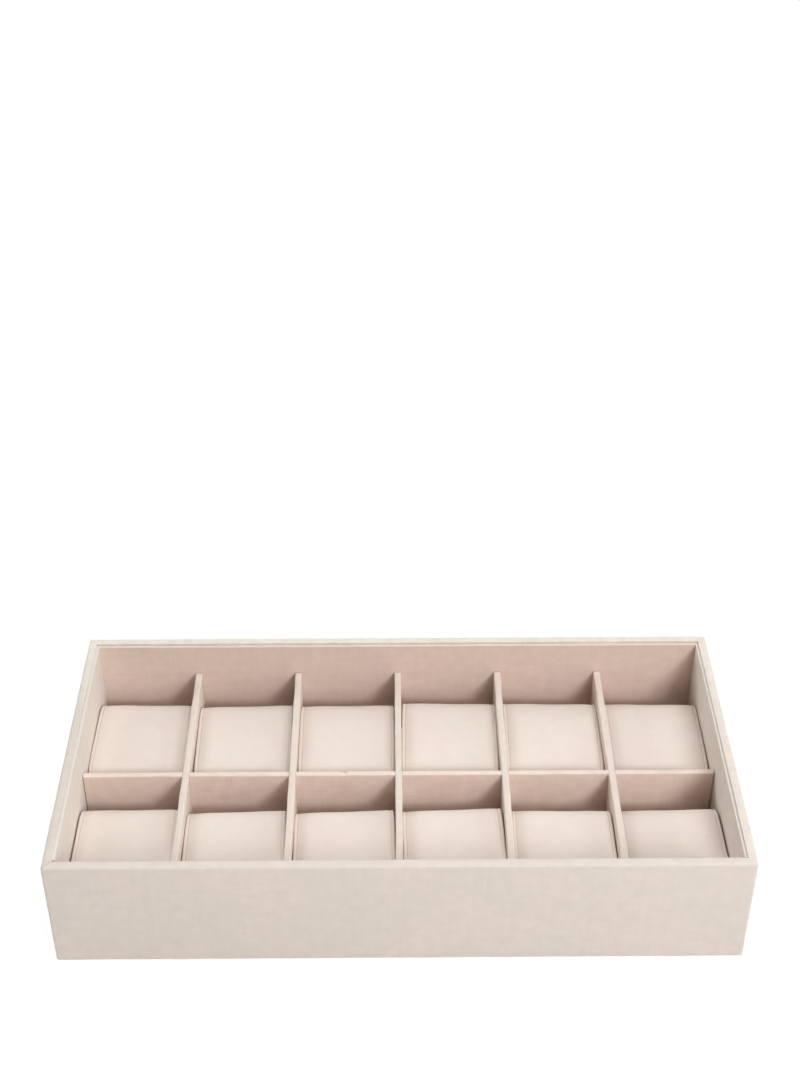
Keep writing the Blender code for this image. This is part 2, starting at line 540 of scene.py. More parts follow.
@dataclass
class Piece:
    """One visible piece while it is modelled, in the form of a bmesh.

    Attributes:
        node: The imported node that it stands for.
        kind: The word that its name ends with.
        finish: Its cloth.
        lay: How the cloth lies on it.
        shape: Its mesh.
    """

    node: str
    kind: str
    finish: BrushedCloth
    lay: Lay
    shape: bmesh.types.BMesh = field(default_factory=bmesh.new)

    def block(self, length: float, depth: float, height: float) -> None:
        """Start from a rectangular block, centred on its middle."""
        bmesh.ops.create_cube(self.shape, size=1.0)
        bmesh.ops.scale(self.shape, vec=(length, depth, height), verts=self.shape.verts)

    def grow(self, outline: list[Place], way: Place) -> None:
        """Start from a flat outline and extrude it.

        Args:
            outline: The corners of the first side.
            way: The way from the first side to the other.
        """
        side = self.shape.faces.new([self.shape.verts.new(point) for point in outline])
        grown = bmesh.ops.extrude_face_region(self.shape, geom=[side])["geom"]
        moved = [element for element in grown if isinstance(element, bmesh.types.BMVert)]
        bmesh.ops.translate(self.shape, vec=way, verts=moved)

    def edges_along_x(self, level: float, inner: bool = False) -> list[bmesh.types.BMEdge]:
        """Give the edges that run along X at one height.

        Args:
            level: The height.
            inner: Whether to give only the one furthest towards +Y.

        Returns:
            The edges.
        """
        found = []
        for edge in self.shape.edges:
            start, end = (vertex.co for vertex in edge.verts)
            level_run = abs(start.y - end.y) < SAME and abs(start.z - end.z) < SAME
            if level_run and abs(start.z - level) < SAME:
                found.append(edge)
        if inner:
            furthest = max(edge.verts[0].co.y for edge in found)
            found = [edge for edge in found if furthest - edge.verts[0].co.y < SAME]
        return found

    def round_off(self, edges: list[bmesh.types.BMEdge], radius: float, segments: int = 3) -> None:
        """Round some edges with a circular profile.

        Args:
            edges: The edges.
            radius: The radius of the rounding.
            segments: How many flat steps the rounding has.
        """
        bmesh.ops.bevel(
            self.shape,
            geom=edges,
            offset=radius,
            offset_type="OFFSET",
            affect="EDGES",
            segments=segments,
            profile=0.5,
            material=-1,
        )

    def slice_at(self, axis: int, places: list[float]) -> None:
        """Add the edges where planes square to one axis cross the mesh.

        Args:
            axis: 0, 1 or 2 for X, Y or Z.
            places: Where the planes cross the axis.
        """
        normal = Vector((0.0, 0.0, 0.0))
        normal[axis] = 1.0
        for place in places:
            bmesh.ops.bisect_plane(
                self.shape,
                geom=self.shape.verts[:] + self.shape.edges[:] + self.shape.faces[:],
                dist=SAME,
                plane_co=normal * place,
                plane_no=normal,
            )

    def slice_evenly(self, axis: int, step: float, margin: float = 0.0) -> None:
        """Add evenly spaced edges along one axis.

        Args:
            axis: 0, 1 or 2 for X, Y or Z.
            step: The widest that a slice may be, in metres.
            margin: How far the first and last cut stay from the ends.
        """
        reach = [vertex.co[axis] for vertex in self.shape.verts]
        start, end = min(reach) + margin, max(reach) - margin
        count = max(1, math.ceil((end - start) / step))
        places = [start + (end - start) * number / count for number in range(count + 1)]
        inside = [place for place in places if min(reach) + SAME < place < max(reach) - SAME]
        self.slice_at(axis, inside)

    def unsettle(self, size: float, amount: float, shares: Place = (1.0, 1.0, 1.0)) -> None:
        """Move the surface about a little, as cloth over board or foam does.

        Args:
            size: The size of the bumps, in metres.
            amount: The most that a point moves, in metres.
            shares: How much of the move each axis gets.
        """
        for vertex in self.shape.verts:
            push = noise.noise_vector(vertex.co / size) * amount
            vertex.co += Vector(part * share for part, share in zip(push, shares))

    def paint(self, name: str, share: Callable[[bmesh.types.BMVert], float]) -> None:
        """Store a number on each vertex for the material to read.

        Args:
            name: The name of the attribute.
            share: A function from a vertex to its number, from 0 to 1.
        """
        layer = self.shape.verts.layers.float.get(name) or self.shape.verts.layers.float.new(name)
        for vertex in self.shape.verts:
            vertex[layer] = max(0.0, min(1.0, share(vertex)))

    def rub_top(self, top: float, depth: float, worn: Callable[[float], float]) -> None:
        """Wear the nap along the top of a board.

        Args:
            top: The height of the top.
            depth: How far down from the top the wear reaches.
            worn: A function from the place along the board to how worn its top is.
        """
        full = top - 0.2 * MM
        self.paint("rub", lambda vertex: worn(vertex.co.x) * eased(vertex.co.z, top - depth, full))

    def move(self, place: Matrix) -> None:
        """Carry the mesh to its place."""
        bmesh.ops.transform(self.shape, matrix=place, verts=self.shape.verts)

    def finish_piece(self, sharp_degrees: float = 50.0) -> bpy.types.Object:
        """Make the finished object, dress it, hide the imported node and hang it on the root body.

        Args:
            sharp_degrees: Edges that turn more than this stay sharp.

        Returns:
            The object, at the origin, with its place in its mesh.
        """
        bmesh.ops.recalc_face_normals(self.shape, faces=self.shape.faces)
        name = f"{self.node}_{self.kind}"
        mesh = bpy.data.meshes.new(name)
        self.shape.to_mesh(mesh)
        self.shape.free()
        mesh.shade_smooth()
        mesh.set_sharp_from_angle(angle=math.radians(sharp_degrees))
        mesh.materials.append(self.finish.material(self.lay))
        made = show(name, mesh)
        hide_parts(self.node)
        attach(made, "root")
        log.info("%s: %d faces", name, len(mesh.polygons))
        return made


def board_frame(node: str, side: Side) -> tuple[float, float, float, Matrix]:
    """Read an upright board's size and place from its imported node.

    Args:
        node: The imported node.
        side: Where its outer face looks.

    Returns:
        Its length, thickness and height, and the way from a board that is centred on the origin
        with its outer face towards -Y to the board in its place.
    """
    low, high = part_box(node)
    size = high - low
    length, thickness = (size.y, size.x) if side.runs_along_y else (size.x, size.y)
    place = Matrix.Translation((low + high) / 2) @ Matrix.Rotation(math.radians(side.value), 4, "Z")
    return length, thickness, size.z, place


def upright_lay(side: Side) -> Lay:
    """Give the way that the cloth lies on an upright board of one side."""
    return Lay.UPRIGHT_ALONG_Y if side.runs_along_y else Lay.UPRIGHT_ALONG_X


@dataclass
class OuterBox:
    """The four mitred walls and the base board between them.

    Attributes:
        finishes: The cloths.
        edge_radius: The radius of the cloth over a wall's outer edges.
        inner_radius: The radius of the cloth over a wall's inner top edge.
        corner_radius: The radius of the upright outer corners.
        seam: The width of the hairline where two walls meet.
        open_seam: How much wider that hairline is at the rim of the front left corner.
        rim_wear: How pale the nap is worn on the rim of each side.
        wear_depth: How far down from the rim the wear reaches.
        foot_shade: How dark the painted shade at the very foot is.
        foot_height: How far up that shade reaches.
        wave_length: How far the waves of the rim lie apart.
        wave_rise: How far they make the rim rise and sink.
        wave_lean: How far they make it lean in and out.
        cell: The widest and the highest that a mesh cell of a wall is.
        base_radius: The radius of the cloth over the base board's lower edges.
        base_bump: How uneven the base board's cloth is.
        base_cell: The widest that a mesh cell of the base board is.
    """

    finishes: Finishes
    edge_radius: float = 1.4 * MM
    inner_radius: float = 0.3 * MM
    corner_radius: float = 1.6 * MM
    seam: float = 0.08 * MM
    open_seam: float = 0.25 * MM
    rim_wear: dict[Side, float] = field(default_factory=lambda: by_side(0.25, 0.5, 0.9, 0.1))
    wear_depth: float = 1.3 * MM
    foot_shade: float = 0.35
    foot_height: float = 1.0 * MM
    wave_length: float = 19 * MM
    wave_rise: float = 0.30 * MM
    wave_lean: float = 0.20 * MM
    cell: tuple[float, float] = (4.5 * MM, 6.5 * MM)
    base_radius: float = 0.6 * MM
    base_bump: float = 0.05 * MM
    base_cell: float = 12 * MM

    def build(self) -> None:
        """Make the base board and the walls."""
        self.base()
        for side in Side:
            self.wall(side)

    def base(self) -> None:
        """Make the base board, covered in plain cloth and raised by as much as it is uneven."""
        low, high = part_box("base_board")
        piece = Piece("base_board", "panel", self.finishes.base, Lay.FLAT)
        size = high - low
        piece.block(*size)
        piece.round_off(piece.edges_along_x(-size.z / 2), self.base_radius)
        piece.slice_evenly(0, self.base_cell)
        piece.slice_evenly(1, self.base_cell)
        piece.unsettle(30 * MM, self.base_bump, (0.0, 0.0, 1.0))
        piece.move(Matrix.Translation((low + high) / 2 + Vector((0.0, 0.0, self.base_bump))))
        piece.finish_piece()

    def wall(self, side: Side) -> None:
        """Make one wall, with mitred ends that share the rounded corners of the box.

        Args:
            side: The side of the wall.
        """
        node = f"{side.name.lower()}_wall"
        _, thickness, height, place = board_frame(node, side)
        length = self.full_length(side)
        top = height / 2
        piece = Piece(node, "board", self.finishes.wall, upright_lay(side))
        piece.block(length - self.seam * math.sqrt(2), thickness, height)
        self.mitre(piece, side, thickness)
        rims = piece.edges_along_x(top) + piece.edges_along_x(-top)
        piece.round_off([edge for edge in rims if edge.verts[0].co.y < 0], self.edge_radius)
        piece.round_off(piece.edges_along_x(top, inner=True), self.inner_radius)
        half = length / 2 - self.seam / math.sqrt(2)
        self.cut_for_cloth(piece, half, thickness, top)
        self.turn_corner(piece, half, thickness)
        piece.unsettle(22 * MM, 0.12 * MM, (0.0, 1.0, 0.5))
        piece.unsettle(7 * MM, 0.05 * MM, (0.0, 1.0, 1.0))
        self.wave_rim(piece, side, thickness, top)
        piece.rub_top(top, self.wear_depth, lambda along: self.wear(side, along, length / 2))
        # Painted shade along the wall's bottom millimetre, where it meets the floor.
        shade_top = top - self.foot_height
        piece.paint("seam", lambda vertex: self.foot_shade * eased(-vertex.co.z, shade_top, top))
        piece.move(place)
        piece.finish_piece()

    @staticmethod
    def full_length(side: Side) -> float:
        """Give the length of a whole side of the box."""
        size = packed_bounds[1] - packed_bounds[0]
        return size.y if side.runs_along_y else size.x

    def mitre(self, piece: Piece, side: Side, thickness: float) -> None:
        """Cut the ends of a wall at 45 degrees, and a little more at the rim of the open seam.

        Args:
            piece: The wall.
            side: Its side.
            thickness: Its thickness.
        """
        for vertex in piece.shape.verts:
            at_open_seam = (side, vertex.co.x > 0) in ((Side.FRONT, False), (Side.LEFT, True))
            if vertex.co.y > 0:
                vertex.co.x -= math.copysign(thickness, vertex.co.x)
            if at_open_seam and vertex.co.z > 0:
                vertex.co.x -= math.copysign(self.open_seam / math.sqrt(2), vertex.co.x)

    def cut_for_cloth(self, piece: Piece, half: float, thickness: float, top: float) -> None:
        """Cut a wall into cells that can follow the cloth and the rounded corners.

        Args:
            piece: The wall.
            half: Half the length of its outer face.
            thickness: Its thickness.
            top: The height of its rim over its middle.
        """
        ends = [half - self.corner_radius * share for share in (0.25, 0.5, 0.75, 1.0)]
        ends.append(half - thickness - 1.0 * MM)
        piece.slice_at(0, [-place for place in ends] + ends)
        cell_length, cell_height = self.cell
        piece.slice_evenly(0, cell_length, thickness + 2 * MM)
        edge = top - self.edge_radius - 0.6 * MM
        piece.slice_at(2, [-edge, edge])
        piece.slice_evenly(2, cell_height, 5 * MM)
        piece.slice_at(1, [0.0])

    def turn_corner(self, piece: Piece, half: float, thickness: float) -> None:
        """Bend the outer face round the box's upright corners, up to the mitre.

        Args:
            piece: The wall.
            half: Half the length of its outer face.
            thickness: Its thickness.
        """
        radius = self.corner_radius
        for vertex in piece.shape.verts:
            depth = vertex.co.y + thickness / 2
            along = half - abs(vertex.co.x) - depth
            if along >= radius or depth >= radius:
                continue
            angle = (1 - max(0.0, along) / radius) * math.radians(45)
            weight = 1 - depth / radius
            inwards = weight * (radius * (1 - math.sin(angle)) - along)
            vertex.co.x -= math.copysign(inwards, vertex.co.x)
            vertex.co.y += weight * radius * (1 - math.cos(angle))

    def wave_rim(self, piece: Piece, side: Side, thickness: float, top: float) -> None:
        """Let the rim run in slight waves, and keep the foot on the ground.

        Args:
            piece: The wall.
            side: Its side, which has its own waves.
            thickness: Its thickness.
            top: The height of its rim over its middle.
        """
        for vertex in piece.shape.verts:
            on_rim = eased(vertex.co.z, top - 2.5 * MM, top - 0.4 * MM)
            on_rim *= eased(-vertex.co.y, 0.0, thickness / 2)
            crest = wave(vertex.co.x, self.wave_length, (5.0 + side.value, 0.0))
            vertex.co.z = max(-top, vertex.co.z + self.wave_rise * crest * on_rim)
            vertex.co.y += self.wave_lean * crest * on_rim

    def wear(self, side: Side, along: float, half: float) -> float:
        """Give how worn the rim is at a place along it: a side rim wears like the back one near it.

        Args:
            side: The side of the wall.
            along: The place along the wall, from its middle.
            half: Half the length of the wall.

        Returns:
            The share of worn nap.
        """
        own = self.rim_wear[side]
        if not side.runs_along_y:
            return own
        to_back = along if side is Side.RIGHT else -along
        near = eased(to_back, 0.1 * half, half)
        return own + (self.rim_wear[Side.BACK] - own) * near


@dataclass
class Lining:
    """The floor lining and the four thin boards inside the walls.

    Attributes:
        finishes: The cloths.
        edge_radius: The radius of the cloth over a board's top, on the side of the cells.
        seam_radius: The radius on the side of the wall.
        end_reach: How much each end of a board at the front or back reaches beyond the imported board.
        side_end_reach: The same for a board at the left or right.
        press: How far the board of each side is pressed out towards its wall, in millimetres.
        lift: How much higher a board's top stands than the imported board's, in millimetres.
        top_wear: How pale the nap is worn on the top of each side's board.
        wear_depth: How far down from the top the wear reaches.
        cell: The widest and the highest that a mesh cell of an upright board is.
        floor_cell: The widest that a mesh cell of the floor lining is.
    """

    finishes: Finishes
    edge_radius: float = 0.45 * MM
    seam_radius: float = 0.20 * MM
    end_reach: float = 0.24 * MM
    side_end_reach: float = 0.40 * MM
    press: dict[Side, float] = field(default_factory=lambda: by_side(0.20, 0.45, 0.20, 0.28))
    lift: dict[Side, float] = field(default_factory=lambda: by_side(0.0, 0.0, 0.0, 1.25))
    top_wear: dict[Side, float] = field(default_factory=lambda: by_side(0.4, 0.4, 0.9, 0.35))
    wear_depth: float = 1.2 * MM
    cell: tuple[float, float] = (4.5 * MM, 7 * MM)
    floor_cell: float = 10 * MM

    def build(self) -> None:
        """Make the floor lining and the upright boards."""
        self.floor()
        for side in Side:
            self.board(side)

    def floor(self) -> None:
        """Make the lining that covers the base."""
        low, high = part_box("floor_lining")
        piece = Piece("floor_lining", "sheet", self.finishes.lining, Lay.FLAT)
        piece.block(*(high - low))
        piece.slice_evenly(0, self.floor_cell)
        piece.slice_evenly(1, self.floor_cell)
        piece.move(Matrix.Translation((low + high) / 2))
        piece.finish_piece()

    def board(self, side: Side) -> None:
        """Make one upright lining board with a soft, slightly wavy top.

        Args:
            side: The side of the board.
        """
        node = f"{side.name.lower()}_lining"
        length, thickness, height, place = board_frame(node, side)
        cloth = self.finishes.side_lining if side.runs_along_y else self.finishes.lining
        reach = self.side_end_reach if side.runs_along_y else self.end_reach
        piece = Piece(node, "board", cloth, upright_lay(side))
        lift = self.lift[side] * MM
        height += lift
        top = height / 2
        place = Matrix.Translation((0.0, 0.0, lift / 2)) @ place
        piece.block(length + 2 * reach, thickness, height)
        piece.round_off(piece.edges_along_x(top, inner=True), self.edge_radius)
        outer_face = -thickness / 2 + self.seam_radius
        outer = [edge for edge in piece.edges_along_x(top) if edge.verts[0].co.y < outer_face]
        piece.round_off(outer, self.seam_radius)
        piece.move(Matrix.Translation((0.0, -self.press[side] * MM, 0.0)))
        cell_length, cell_height = self.cell
        piece.slice_evenly(0, cell_length)
        rim = top - self.edge_radius
        piece.slice_at(2, [rim - 0.5 * MM, rim - 2 * MM])
        piece.slice_evenly(2, cell_height, 5 * MM)
        piece.unsettle(24 * MM, 0.06 * MM, (0.0, 1.0, 1.0))
        piece.rub_top(top, self.wear_depth, lambda along: self.top_wear[side])
        piece.move(place)
        piece.finish_piece()


@dataclass
class DividerLattice:
    """The long divider and the five cross dividers, half-lapped where they meet.

    Attributes:
        finishes: The cloths.
        edge_radius: The radius of the cloth over a divider's top.
        slot_play: The room on each side of a divider in another's slot.
        fullness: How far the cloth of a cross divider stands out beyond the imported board.
        shifts: How far each cross divider stands to the right of true, in millimetres.
        top_wear: How pale the nap is worn on a divider's top.
        wear_depth: How far down from the top the wear reaches.
        soft_depth: How far down from the top the cloth swells and thins.
        cell: The widest that a mesh cell of a divider is.
        fold_x: Where the cloth on the long divider's top is puckered.
        fold_steps: Where the mesh is cut around the pucker, in millimetres from it.
        fold_front: How deep the pucker is at the front of the top.
        fold_more: How much deeper it is at the back of the top.
        fold_pull: How far it draws the cloth towards the front.
    """

    finishes: Finishes
    edge_radius: float = 0.6 * MM
    slot_play: float = 0.08 * MM
    fullness: float = 0.25 * MM
    shifts: tuple[float, ...] = (0.30, 0.20, -0.10, -0.20, -0.10)
    top_wear: float = 0.45
    wear_depth: float = 2.0 * MM
    soft_depth: float = 12 * MM
    cell: float = 4.0 * MM
    fold_x: float = -32.6 * MM
    fold_steps: tuple[float, ...] = (-6.0, -4.5, -3.0, -1.8, -0.9, -0.3, 0.1, 0.4, 0.8, 1.6)
    fold_front: float = 0.15 * MM
    fold_more: float = 0.75 * MM
    fold_pull: float = 0.20 * MM

    def build(self) -> None:
        """Make the long divider and the cross dividers."""
        crossings = []
        for number, shift in enumerate(self.shifts, start=1):
            low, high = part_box(f"cross_divider_{number}")
            crossings.append(((low.x + high.x) / 2 + shift * MM, high.x - low.x + 2 * self.fullness))
        self.long_divider(crossings)
        low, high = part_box("long_divider")
        crossing = ((low.y + high.y) / 2, high.y - low.y)
        for number, shift in enumerate(self.shifts, start=1):
            self.cross_divider(number, shift * MM, crossing)

    def long_divider(self, crossings: list[tuple[float, float]]) -> None:
        """Make the divider that runs from left to right, with slots that open at its top.

        Args:
            crossings: The middle and the thickness of each divider that crosses it.
        """
        length, thickness, height, place = board_frame("long_divider", Side.FRONT)
        cloth = self.finishes.long_divider
        piece = Piece("long_divider", "board", cloth, upright_lay(Side.FRONT))
        piece.grow(self.outline(length, thickness, height / 2, crossings), (0.0, thickness, 0.0))
        folds = [self.fold_x + step * MM for step in self.fold_steps]
        self.cover(piece, thickness, height / 2, folds)
        piece.move(place)
        self.pucker(piece)
        piece.finish_piece()

    def cross_divider(self, number: int, shift: float, crossing: tuple[float, float]) -> None:
        """Make one divider that runs from front to back, with a slot that opens at its foot.

        Args:
            number: Its number, counted from the left.
            shift: How far it stands to the right of true.
            crossing: The middle and the thickness of the long divider.
        """
        node = f"cross_divider_{number}"
        length, thickness, height, place = board_frame(node, Side.RIGHT)
        thickness += 2 * self.fullness
        place = Matrix.Translation((shift, 0.0, 0.0)) @ place
        piece = Piece(node, "board", self.finishes.cross_divider, upright_lay(Side.RIGHT))
        piece.grow(self.outline(length, thickness, -height / 2, [crossing]), (0.0, thickness, 0.0))
        self.cover(piece, thickness, height / 2, [])
        piece.move(place)
        piece.finish_piece()

    def outline(
        self, length: float, thickness: float, open_level: float, crossings: list[tuple[float, float]]
    ) -> list[Place]:
        """Give the outline of a divider's outer face, with slots to half its height.

        Args:
            length: The divider's length.
            thickness: Its thickness.
            open_level: The height, over its middle, of the edge where the slots open.
            crossings: The middle and the thickness of each divider that crosses it.

        Returns:
            The corners of the outline.
        """
        corners = [(-length / 2, -open_level), (-length / 2, open_level)]
        for middle, width in crossings:
            near = middle - width / 2 - self.slot_play
            far = middle + width / 2 + self.slot_play
            corners += [(near, open_level), (near, 0.0), (far, 0.0), (far, open_level)]
        corners += [(length / 2, open_level), (length / 2, -open_level)]
        return [(along, -thickness / 2, level) for along, level in corners]

    def cover(self, piece: Piece, thickness: float, top: float, folds: list[float]) -> None:
        """Round a divider's top and let its cloth swell and wear.

        Args:
            piece: The divider.
            thickness: Its thickness.
            top: The height of its top over its middle.
            folds: Further places along it where the mesh is cut.
        """
        piece.round_off(piece.edges_along_x(top), min(self.edge_radius, 0.42 * thickness))
        piece.slice_evenly(0, self.cell)
        piece.slice_at(0, folds)
        rim = top - self.edge_radius
        piece.slice_at(2, [rim - 0.6 * MM, rim - 2.5 * MM, 12 * MM, 4 * MM, 0.0, -12 * MM])
        piece.slice_at(1, [0.0])
        for vertex in piece.shape.verts:
            height_share = eased(vertex.co.z, top - self.soft_depth, top)
            swell = wave(vertex.co.x, 13 * MM, (7.0, thickness / MM))
            vertex.co.y *= 1 + 0.10 * swell * height_share
            rise = wave(vertex.co.x, 17 * MM, (3.0, 0.5))
            vertex.co.z += 0.12 * MM * rise * height_share
        piece.unsettle(9 * MM, 0.05 * MM, (0.0, 1.0, 1.0))
        piece.rub_top(top, self.wear_depth, lambda along: self.top_wear)

    def pucker(self, piece: Piece) -> None:
        """Sink the small fold of cloth on the long divider's top, in the third cell.

        Args:
            piece: The long divider, in its place.
        """
        low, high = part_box("long_divider")
        for vertex in piece.shape.verts:
            along = vertex.co.x - self.fold_x
            share = eased(along, -5.0 * MM, 0.0) * (1 - eased(along, 0.1 * MM, 0.9 * MM))
            share *= eased(vertex.co.z, high.z - 2.5 * MM, high.z)
            back_share = eased(vertex.co.y, low.y, high.y)
            vertex.co.z -= (self.fold_front + self.fold_more * back_share) * share
            vertex.co.y -= self.fold_pull * share


@dataclass(frozen=True)
class Sitting:
    """How one cushion sits in its cell, all in millimetres.

    Attributes:
        back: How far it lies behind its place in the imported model.
        tilt: How much nearer its right end lies than its left end. It is lower by three quarters of that.
        crown: How far the middle of its back edge stands proud of the ends.
        left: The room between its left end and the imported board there.
        right: The room at its right end.
    """

    back: float
    tilt: float
    crown: float
    left: float = 0.45
    right: float = 0.45


@dataclass
class CushionSet:
    """The twelve cushions: foam blocks, rolled at front and back, with sewn end panels.

    Attributes:
        finishes: The cloths.
        cell: The size of the cells that the cover is simulated in.
        roll_radius: The radius of the rolls at front and back.
        roll_steps: How many flat steps a quarter of a roll has before it is smoothed.
        pressure: How hard the foam presses on the cover in the simulation.
        frames: How many frames the simulation runs.
        swell: How far the cover of a cushion without a crown swells.
        corner_pull: How far its ends are drawn in at the front and back corners.
        seam_inset: How far the seam lies in from an end.
        seam_depth: How deep the seam is drawn in.
        seam_width: How wide it is drawn in, to each side.
        seam_shade: How dark the painted shade down in the seam is.
        shade_width: How wide it is dark, to each side.
        painted_left_end_shade: How dark the painted shade at the left end is.
        welt_height: How far the piping beyond the seam stands up.
        welt_inset: How far its top lies in from an end.
        welt_width: How wide it is, to each side.
        right_welt: How many times higher it is at the right end.
        end_radius: The radius of the corner between the cover and an end panel.
        end_drop: How far the top falls away towards an end.
        left_fall: How far from the left end that fall starts.
        right_fall: How far from the right end it starts.
        front_row: How each cushion at the front sits, from the left.
        back_row: How each cushion at the back sits, from the left.
    """

    finishes: Finishes
    cell: float = 3.6 * MM
    roll_radius: float = 12.5 * MM
    roll_steps: int = 6
    pressure: float = 4.0
    frames: int = 20
    swell: float = 0.15 * MM
    corner_pull: float = 0.75 * MM
    seam_inset: float = 2.0 * MM
    seam_depth: float = 0.26 * MM
    seam_width: float = 0.32 * MM
    seam_shade: float = 0.3
    shade_width: float = 0.26 * MM
    painted_left_end_shade: float = 0.22
    welt_height: float = 0.12 * MM
    welt_inset: float = 0.9 * MM
    welt_width: float = 0.6 * MM
    right_welt: float = 1.8
    end_radius: float = 0.7 * MM
    end_drop: float = 0.50 * MM
    left_fall: float = 11 * MM
    right_fall: float = 4.5 * MM
    front_row: tuple[Sitting, ...] = (
        Sitting(1.9, -0.18, 0.19, left=0.68),
        Sitting(-0.3, -1.15, 0.28, left=1.05),
        Sitting(-0.5, -1.30, 0.80, left=0.80),
        Sitting(0.5, -1.30, 0.37, right=0.80),
        Sitting(-0.9, 0.47, 0.37, right=0.95),
        Sitting(-0.8, -0.62, 0.15, right=0.40),
    )
    back_row: tuple[Sitting, ...] = (
        Sitting(0.9, 0.52, 0.07, left=0.12),
        Sitting(-0.55, -0.80, 0.49, left=1.00),
        Sitting(-0.5, -0.19, 1.10, left=0.55),
        Sitting(1.0, 0.91, 0.85, right=0.35),
        Sitting(0.2, 0.74, 1.70, right=0.30),
        Sitting(-0.9, 0.69, 0.59, right=-0.15),
    )

    def build(self) -> None:
        """Make every cushion: the blocks, their inflated covers, then seams and seating."""
        sittings = {f"cushion_front_{n}": how for n, how in enumerate(self.front_row, start=1)}
        sittings |= {f"cushion_back_{n}": how for n, how in enumerate(self.back_row, start=1)}
        blocks = {node: self.foam_block(node) for node in sittings}
        covers = self.inflate(blocks)
        for node, how in sittings.items():
            self.cushion(node, blocks[node], covers[node], how)

    def foam_block(self, node: str) -> bpy.types.Object:
        """Make a foam block, centred on its middle, in even cells for the simulation.

        Args:
            node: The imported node.

        Returns:
            The block.
        """
        low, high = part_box(node)
        size = high - low
        flat_y, flat_z = size.y / 2 - self.roll_radius, size.z / 2 - self.roll_radius
        outline = []
        for side_y, side_z, first in ((1, 1, 0), (-1, 1, 90), (-1, -1, 180), (1, -1, 270)):
            for step in range(self.roll_steps + 1):
                angle = math.radians(first + 90 * step / self.roll_steps)
                across = side_y * flat_y + self.roll_radius * math.cos(angle)
                up = side_z * flat_z + self.roll_radius * math.sin(angle)
                outline.append((-size.x / 2, across, up))
        piece = Piece(node, "foam", self.finishes.cushion, Lay.FLAT)
        piece.grow(outline, (size.x, 0.0, 0.0))
        piece.slice_evenly(0, self.cell)
        for axis, flat in ((1, flat_y), (2, flat_z)):
            rows = max(1, round(2 * flat / self.cell))
            piece.slice_at(axis, [flat * (2 * row / rows - 1) for row in range(rows + 1)])
        bmesh.ops.recalc_face_normals(piece.shape, faces=piece.shape.faces)
        mesh = bpy.data.meshes.new(f"{node}_foam")
        piece.shape.to_mesh(mesh)
        piece.shape.free()
        return show(f"{node}_foam", mesh)

    def inflate(self, blocks: dict[str, bpy.types.Object]) -> dict[str, list[Vector]]:
        """Args:
            blocks: The foam blocks by node.

        Returns:
            How far each vertex of each block moved.
        """
        for block in blocks.values():
            cloth = block.modifiers.new("cover", "CLOTH")
            cloth.settings.quality = 6
            cloth.settings.mass = 0.3
            cloth.settings.use_pressure = True
            cloth.settings.uniform_pressure_force = self.pressure
            cloth.settings.effector_weights.gravity = 0.0
            cloth.point_cache.frame_start = 1
            cloth.point_cache.frame_end = self.frames
        scene = bpy.context.scene
        for number in range(1, self.frames + 1):
            scene.frame_set(number)
        graph = bpy.context.evaluated_depsgraph_get()
        moves = {}
        for node, block in blocks.items():
            pairs = zip(block.data.vertices, block.evaluated_get(graph).data.vertices)
            moves[node] = [after.co - before.co for before, after in pairs]
            block.modifiers.clear()
        scene.frame_set(1)
        return moves

    def cushion(self, node: str, block: bpy.types.Object, moves: list[Vector], how: Sitting) -> None:
        """Finish one cushion: its fullness, its seams and how it sits.

        Args:
            node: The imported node.
            block: The foam block, which is used up.
            moves: How far the simulation moved each vertex of the block.
            how: How the cushion sits.
        """
        low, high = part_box(node)
        size = high - low
        self.fill_out(block, moves, how, size)
        rounded = self.subdivided(block)
        piece = Piece(node, "pad", self.finishes.cushion, Lay.FLAT)
        piece.shape.from_mesh(rounded)
        bpy.data.meshes.remove(rounded)
        bpy.data.objects.remove(block)
        self.sew(piece, size)
        self.seat(piece, size, how, self.free_room(node))
        piece.move(Matrix.Translation((low + high) / 2))
        made = piece.finish_piece(sharp_degrees=75.0)

    def fill_out(
        self, block: bpy.types.Object, moves: list[Vector], how: Sitting, size: Vector
    ) -> None:
        """Give the block the share of the simulated swelling that this cushion shows.

        Args:
            block: The foam block.
            moves: How far the simulation moved each vertex.
            how: How the cushion sits.
            size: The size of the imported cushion.
        """
        crown = how.crown * MM
        largest = max(move.length for move in moves)
        if largest == 0:
            self.bulge(block, crown, size)
            return
        share = (self.swell + crown) / largest
        for vertex, move in zip(block.data.vertices, moves):
            vertex.co.y += move.y * share
            vertex.co.z += move.z * share

    @staticmethod
    def bulge(block: bpy.types.Object, crown: float, size: Vector) -> None:
        """Args:
            block: The foam block.
            crown: How far the middle of the cushion's back edge stands proud of the ends.
            size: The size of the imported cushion.
        """
        for vertex in block.data.vertices:
            across = 1 - (2 * vertex.co.x / size.x) ** 2
            outward = Vector((0.0, vertex.co.y / size.y, vertex.co.z / size.z)) * 2
            vertex.co += outward * crown * across * 0.7

